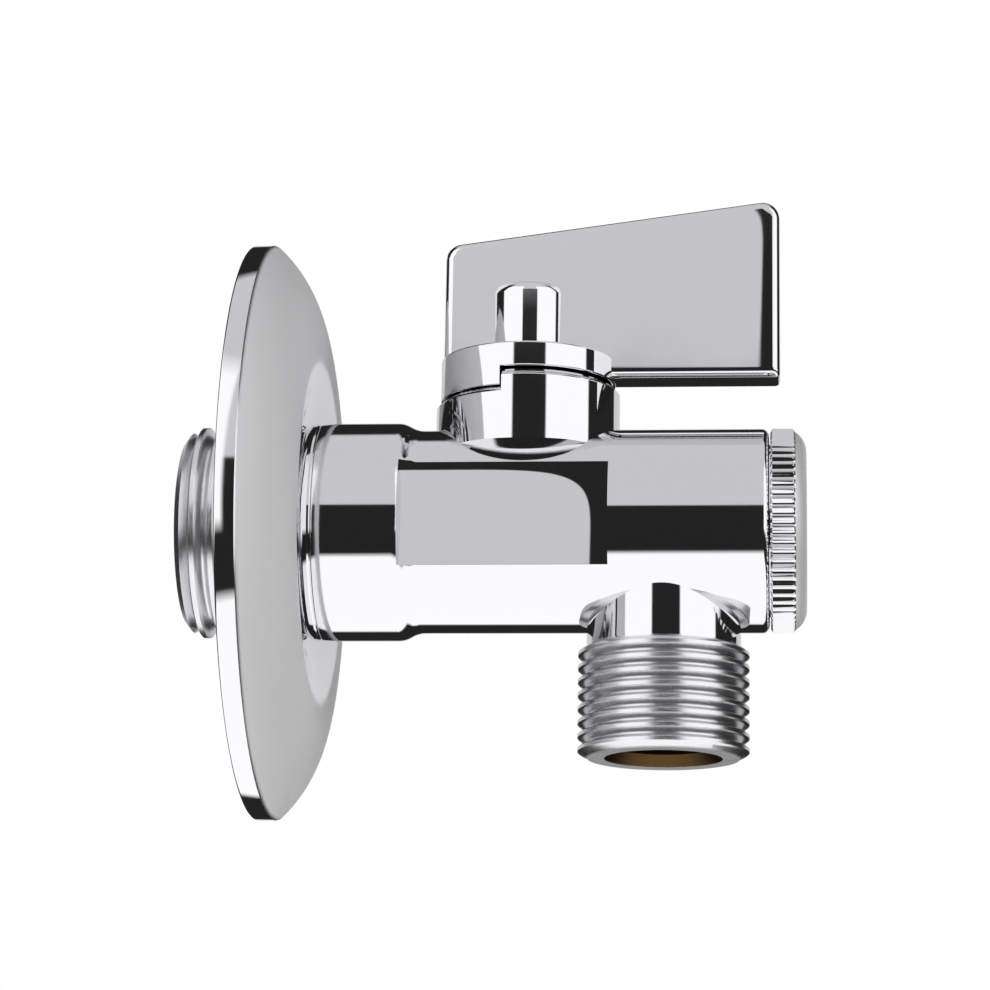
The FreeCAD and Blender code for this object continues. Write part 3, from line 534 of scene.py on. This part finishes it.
class STOPVALVE_OT_valve_body(bpy.types.Operator):
    """Make the plated body with its neck, shoulder and threads"""
    bl_idname = "stop_valve.valve_body"
    bl_label = "Valve body"

    def execute(self, context):
        finish = context.scene.stop_valve_finish
        thread_start_x, thread_start_z, end_z = 3.2 * MM, -11.5 * MM, -22.3 * MM
        flat_x, flat_low_z = 14.7 * MM, -5.2 * MM
        piece = polished_copy("valve_body", "body_plated", [
            ("x", (0.0, 0.0), lambda m: (m[:, 0] < 17 * MM) | (m[:, 0] > 45 * MM)),
            ("z", (OUTLET_X, 0.0), lambda m: m[:, 2] < -10.8 * MM),
            ("z", (STEM_X, 0.0), lambda m: m[:, 2] > 12.0 * MM),
        ])

        def threads_and_faces(tree, place):
            """Threads are plated as they come from the lathe, and the end faces are duller still."""
            split = add(tree, "ShaderNodeSeparateXYZ", [("Vector", place, "Object")])
            inlet = step_mask(tree, split, "X", thread_start_x, thread_start_x - 0.3 * MM)
            outlet = step_mask(tree, split, "Z", thread_start_z, thread_start_z - 0.3 * MM)
            threads = add(tree, "ShaderNodeMath", [(0, inlet, 0), (1, outlet, 0)], operation="MAXIMUM")
            share = add(tree, "ShaderNodeMath", [(0, threads, 0)], operation="MULTIPLY", inputs={1: 0.38})
            faces = step_mask(tree, split, "Z", end_z, end_z - 0.12 * MM)
            return add(tree, "ShaderNodeMath", [(0, share, 0), (1, faces, 0)], operation="MAXIMUM")

        def waterways(tree, place):
            """Inside the inlet bore, the outlet bore and the rooms between them."""
            from_outlet = reach_from(tree, place, (OUTLET_X, 0, 0), "XY")
            in_mouth = step_mask(tree, from_outlet, "Value", 5.75 * MM, 5.7 * MM)
            split = add(tree, "ShaderNodeSeparateXYZ", [("Vector", place, "Object")])
            below = step_mask(tree, split, "Z", -8.0 * MM, -8.1 * MM)
            from_axis = reach_from(tree, place, (0, 0, 0), "YZ")
            in_barrel = step_mask(tree, from_axis, "Value", 8.55 * MM, 8.52 * MM)
            past_rim = step_mask(tree, split, "X", -6.95 * MM, -6.8 * MM)
            inlet = add(tree, "ShaderNodeMath", [(0, in_barrel, 0), (1, past_rim, 0)], operation="MULTIPLY")
            outlet = add(tree, "ShaderNodeMath", [(0, in_mouth, 0), (1, below, 0)], operation="MULTIPLY")
            return add(tree, "ShaderNodeMath", [(0, outlet, 0), (1, inlet, 0)], operation="MAXIMUM")

        def buffed_flat(tree, place):
            """The wrench flat leans 3 degrees upwards except along its upper and far edges."""
            split = add(tree, "ShaderNodeSeparateXYZ", [("Vector", place, "Object")])
            panel = rounded_panel(tree, (split, "X", flat_x, 18.9 * MM),
                                  (split, "Z", flat_low_z, 9.6 * MM), 6.0)
            past_step = step_mask(tree, split, "X", flat_x - 0.1 * MM, flat_x + 0.05 * MM)
            inside = step_mask(tree, panel, 0, 1.05, 0.8)
            share = add(tree, "ShaderNodeMath", [(0, inside, 0), (1, past_step, 0)], operation="MULTIPLY")
            return lean_normal(tree, place, share, 0.055)

        def torn_threads(tree, place, bump):
            """Streaks that the die tears into the flanks: 0.25 mm wide and about 2 mm long."""
            split = add(tree, "ShaderNodeSeparateXYZ", [("Vector", place, "Object")])
            grain = None
            inlet = step_mask(tree, split, "X", thread_start_x, thread_start_x - 0.3 * MM)
            outlet = step_mask(tree, split, "Z", thread_start_z, thread_start_z - 0.3 * MM)
            for rough, stretch in ((inlet, (1.0, 0.12, 0.12)), (outlet, (0.12, 0.12, 1.0))):
                long = add(tree, "ShaderNodeVectorMath", [(0, place, "Object")], operation="MULTIPLY",
                           inputs={1: stretch})
                noise = add(tree, "ShaderNodeTexNoise", [("Vector", long, 0)],
                            inputs={"Scale": 1 / (0.25 * MM), "Detail": 3.0, "Roughness": 0.65})
                lines = add(tree, "ShaderNodeMath", [(0, noise, "Fac"), (1, rough, 0)], operation="MULTIPLY")
                grain = lines if grain is None else add(tree, "ShaderNodeMath",
                                                        [(0, grain, 0), (1, lines, 0)])
            return add(tree, "ShaderNodeBump", [("Height", grain, 0), ("Normal", bump, "Normal")],
                       inputs={"Strength": 1.0, "Distance": 0.02 * MM})

        chrome = make_chrome("chrome_on_turned_brass", finish, dull=threads_and_faces, dull_roughness=0.6,
                             bare=waterways, lean=buffed_flat, marks=torn_threads)
        settle(piece, "housing", "body_chrome", chrome, "valve_body")
        return {"FINISHED"}


class STOPVALVE_OT_lever(bpy.types.Operator):
    """Make the flag lever"""
    bl_idname = "stop_valve.lever"
    bl_label = "Flag lever"

    def execute(self, context):
        finish = context.scene.stop_valve_finish
        piece = polished_copy("lever_handle", "lever_cast", [
            ("z", (STEM_X, 0.0), lambda m: np.hypot(m[:, 0] - STEM_X, m[:, 1]) < 8.8 * MM),
        ])

        def crowned_face(tree, place):
            """Buffing has crowned the plate: a narrow border along its free end and top leans down."""
            split = add(tree, "ShaderNodeSeparateXYZ", [("Vector", place, "Object")])
            length = LEVER_HIGH.x - LEVER_LOW.x
            slope = (LEVER_RISE[1] - LEVER_RISE[0]) / length
            along_top = add(tree, "ShaderNodeMath", [(0, split, "X"), (2, split, "Z")],
                            operation="MULTIPLY_ADD", inputs={1: -slope})
            centre = LEVER_RISE[1] - slope * LEVER_HIGH.x - 20 * MM
            panel = rounded_panel(tree, (split, "X", LEVER_LOW.x + 3 * MM, length - 4.9 * MM),
                                  (along_top, 0, centre, 19.9 * MM), 18.0)
            return lean_normal(tree, place, step_mask(tree, panel, 0, 0.75, 1.6), -0.05)

        chrome = make_chrome("chrome_on_zinc_casting", finish, lean=crowned_face)
        settle(piece, "lever", "lever_chrome", chrome, "lever_handle")
        return {"FINISHED"}


class STOPVALVE_OT_inner_parts(bpy.types.Operator):
    """Finish the ball, seats, seals, stem and strainer inside the body"""
    bl_idname = "stop_valve.inner_parts"
    bl_label = "Inner parts"

    def execute(self, context):
        finish = context.scene.stop_valve_finish
        brass = make_plain("turned_brass", finish.brass, 1.0, 0.32, 0.4 * MM, 0.002 * MM)
        ptfe = make_plain("machined_ptfe", "#E9E8E2", 0.0, 0.5, 0.3 * MM, 0.002 * MM)
        rubber = make_plain("moulded_nitrile", "#1B1B1C", 0.0, 0.6, 0.25 * MM, 0.003 * MM)
        screen = make_plain("perforated_stainless", "#B9BABB", 1.0, 0.3, 0.3 * MM, 0.001 * MM)
        acetal = make_plain("moulded_acetal", "#232326", 0.0, 0.42, 0.5 * MM, 0.001 * MM)
        socket = make_plain("stainless_set_screw", "#8F9092", 1.0, 0.28, 0.2 * MM, 0.001 * MM)
        ball = make_chrome("hard_chrome_ball", finish, 0.08)
        finishes = {
            "ball": ball, "stem": brass, "seat_retainer": brass, "inlet_seat": ptfe, "outlet_seat": ptfe,
            "stem_thrust_washer": ptfe, "inlet_seat_ring": rubber, "outlet_seat_ring": rubber,
            "stem_ring_lower": rubber, "stem_ring_upper": rubber, "end_cap_ring": rubber,
            "strainer_screen": screen, "strainer_collar": acetal, "handle_grub_screw": socket,
        }
        for node, material in finishes.items():
            slots = frame["nodes"][node].data.materials
            slots.clear()
            slots.append(material)
        return {"FINISHED"}


# ----------------------------------------------------------------------- stage
def column(tree, height, stops):
    """One upright strip of the studio: its brightness by height angle in degrees."""
    ramp = add(tree, "ShaderNodeValToRGB", [("Fac", height, 0)])
    ramp.color_ramp.interpolation = "LINEAR"
    while len(ramp.color_ramp.elements) > 1:
        ramp.color_ramp.elements.remove(ramp.color_ramp.elements[-1])
    for i, (degrees, value) in enumerate(stops):
        spot = degrees / 180 + 0.5
        element = ramp.color_ramp.elements[0] if i == 0 else ramp.color_ramp.elements.new(spot)
        element.position = spot
        tint = (value, value * 0.985, value) if 0.3 < value < 0.9 else (value, value, value)
        element.color = (*tint, 1)
    return ramp


def make_studio_world():
    """Soft studio: pale ceiling and floor, a softbox each side, and dark gaps between them.

    It is seen only in reflections and as soft light; the background itself is plain white.
    """
    world = bpy.data.worlds.new("studio")
    bpy.context.scene.world = world
    world.use_nodes = True
    tree = world.node_tree
    tree.nodes.clear()
    place = add(tree, "ShaderNodeTexCoord")
    turn = add(tree, "ShaderNodeVectorRotate", [("Vector", place, "Generated")], rotation_type="Z_AXIS",
               inputs={"Angle": math.radians(-5)})
    split = add(tree, "ShaderNodeSeparateXYZ", [("Vector", turn, "Vector")])
    rise = add(tree, "ShaderNodeMath", [(0, split, "Z")], operation="ARCSINE")
    height = add(tree, "ShaderNodeMath", [(0, rise, 0)], operation="MULTIPLY_ADD",
                 inputs={1: 1 / math.pi, 2: 0.5})
    front = add(tree, "ShaderNodeMath", [(0, split, "Y")], operation="MULTIPLY", inputs={1: -1.0})
    swing = add(tree, "ShaderNodeMath", [(0, split, "X"), (1, front, 0)], operation="ARCTAN2")
    away = add(tree, "ShaderNodeMath", [(0, swing, 0)], operation="ABSOLUTE")
    white, grey, black = 1.22, 0.7, 0.02
    gap = column(tree, height, [(-38, white), (-33, black), (16.6, black), (17.3, grey)])
    box = column(tree, height, [(-38, white), (-33, black), (-12, black), (-6, white), (50, white),
                                (60, grey)])
    side = column(tree, height, [(-38, white), (-34, black), (60, black), (70, grey)])
    back = column(tree, height, [(-40, white), (-36, black), (-2, black), (0, grey), (24, grey), (27, black),
                                 (63, black), (68, grey)])
    mix = gap
    for angle, strip in ((21, box), (80, side), (136, back)):
        edge = add(tree, "ShaderNodeMapRange", [("Value", away, 0)], interpolation_type="SMOOTHSTEP",
                   inputs={"From Min": math.radians(angle - 1.5), "From Max": math.radians(angle + 1.5)})
        mix = add(tree, "ShaderNodeMix", [("Factor", edge, "Result"), (6, mix, "Color" if mix is gap else 2),
                                          (7, strip, "Color")], data_type="RGBA")
    path = add(tree, "ShaderNodeLightPath")
    lit = add(tree, "ShaderNodeBackground", [("Color", mix, 2)], inputs={"Strength": 1.0})
    plain = add(tree, "ShaderNodeBackground", inputs={"Color": (1, 1, 1, 1), "Strength": 1.0})
    both = add(tree, "ShaderNodeMixShader", [("Fac", path, "Is Camera Ray"), (1, lit, 0), (2, plain, 0)])
    add(tree, "ShaderNodeOutputWorld", [("Surface", both, 0)])


class STOPVALVE_OT_studio(bpy.types.Operator):
    """Set up the floor, the soft light and the camera"""
    bl_idname = "stop_valve.studio"
    bl_label = "Studio"

    def execute(self, context):
        studio = context.scene.stop_valve_studio
        reach = 3.0
        corners = np.array([(-reach, -reach, 0), (reach, -reach, 0), (reach, reach, 0), (-reach, reach, 0)])
        corners[:, 2] = studio.floor_height
        mesh = bpy.data.meshes.new("floor")
        mesh.from_pydata(corners.tolist(), [], [(0, 1, 2, 3)])
        floor = bpy.data.objects.new("floor", mesh)
        context.scene.collection.objects.link(floor)
        # plain white studio paper, lit a little from below
        paper, _, _ = new_material("pale_studio_paper", **{
            "Base Color": linear("#F6F6F4"), "Roughness": 0.9, "Emission Color": (1, 1, 1, 1),
            "Emission Strength": 0.3})
        mesh.materials.append(paper)
        floor.visible_glossy = False

        make_studio_world()

        az, el, roll = studio.camera_azimuth, studio.camera_elevation, studio.camera_roll
        ahead = Vector((-math.sin(az) * math.cos(el), math.cos(az) * math.cos(el), -math.sin(el)))
        right = Vector((math.cos(az), math.sin(az), 0))
        up = right.cross(ahead)
        right, up = (right * math.cos(roll) + up * math.sin(roll),
                     up * math.cos(roll) - right * math.sin(roll))
        place = Matrix((right, up, -ahead)).transposed().to_4x4()
        place.translation = Vector(studio.camera_aim) - ahead * studio.camera_distance
        lens = bpy.data.cameras.new("camera")
        lens.sensor_width = 36
        lens.lens = 36 * studio.camera_distance / studio.view_width
        lens.clip_start, lens.clip_end = 0.01, 20
        camera = bpy.data.objects.new("camera", lens)
        context.scene.collection.objects.link(camera)
        camera.matrix_world = place
        context.scene.camera = camera
        context.scene.view_settings.view_transform = "Standard"
        return {"FINISHED"}


PIECES = (STOPVALVE_OT_rosette, STOPVALVE_OT_valve_body, STOPVALVE_OT_end_cap, STOPVALVE_OT_lever,
          STOPVALVE_OT_inner_parts, STOPVALVE_OT_studio)


class STOPVALVE_PT_panel(bpy.types.Panel):
    """Sizes, finishes and the steps that make the valve"""
    bl_idname = "STOPVALVE_PT_panel"
    bl_label = "Stop Valve"
    bl_space_type = "VIEW_3D"
    bl_region_type = "UI"
    bl_category = "Stop Valve"

    def draw(self, context):
        scene = context.scene
        for title, group in (("Sizes", scene.stop_valve_sizes), ("Finish", scene.stop_valve_finish),
                             ("Studio", scene.stop_valve_studio)):
            box = self.layout.box()
            box.label(text=title)
            for name in group.__annotations__:
                box.prop(group, name)
        for piece in PIECES:
            self.layout.operator(piece.bl_idname)


CLASSES = (StopValveSizes, StopValveFinish, StopValveStudio, *PIECES, STOPVALVE_PT_panel)


def register():
    for cls in CLASSES:
        bpy.utils.register_class(cls)
    bpy.types.Scene.stop_valve_sizes = bpy.props.PointerProperty(type=StopValveSizes)
    bpy.types.Scene.stop_valve_finish = bpy.props.PointerProperty(type=StopValveFinish)
    bpy.types.Scene.stop_valve_studio = bpy.props.PointerProperty(type=StopValveStudio)


def unregister():
    del bpy.types.Scene.stop_valve_studio
    del bpy.types.Scene.stop_valve_finish
    del bpy.types.Scene.stop_valve_sizes
    for cls in reversed(CLASSES):
        bpy.utils.unregister_class(cls)


def main():
    register()
    bpy.ops.stop_valve.rosette()
    bpy.ops.stop_valve.valve_body()
    bpy.ops.stop_valve.end_cap()
    bpy.ops.stop_valve.lever()
    bpy.ops.stop_valve.inner_parts()
    bpy.ops.stop_valve.studio()


if __name__ == "__main__":
    main()
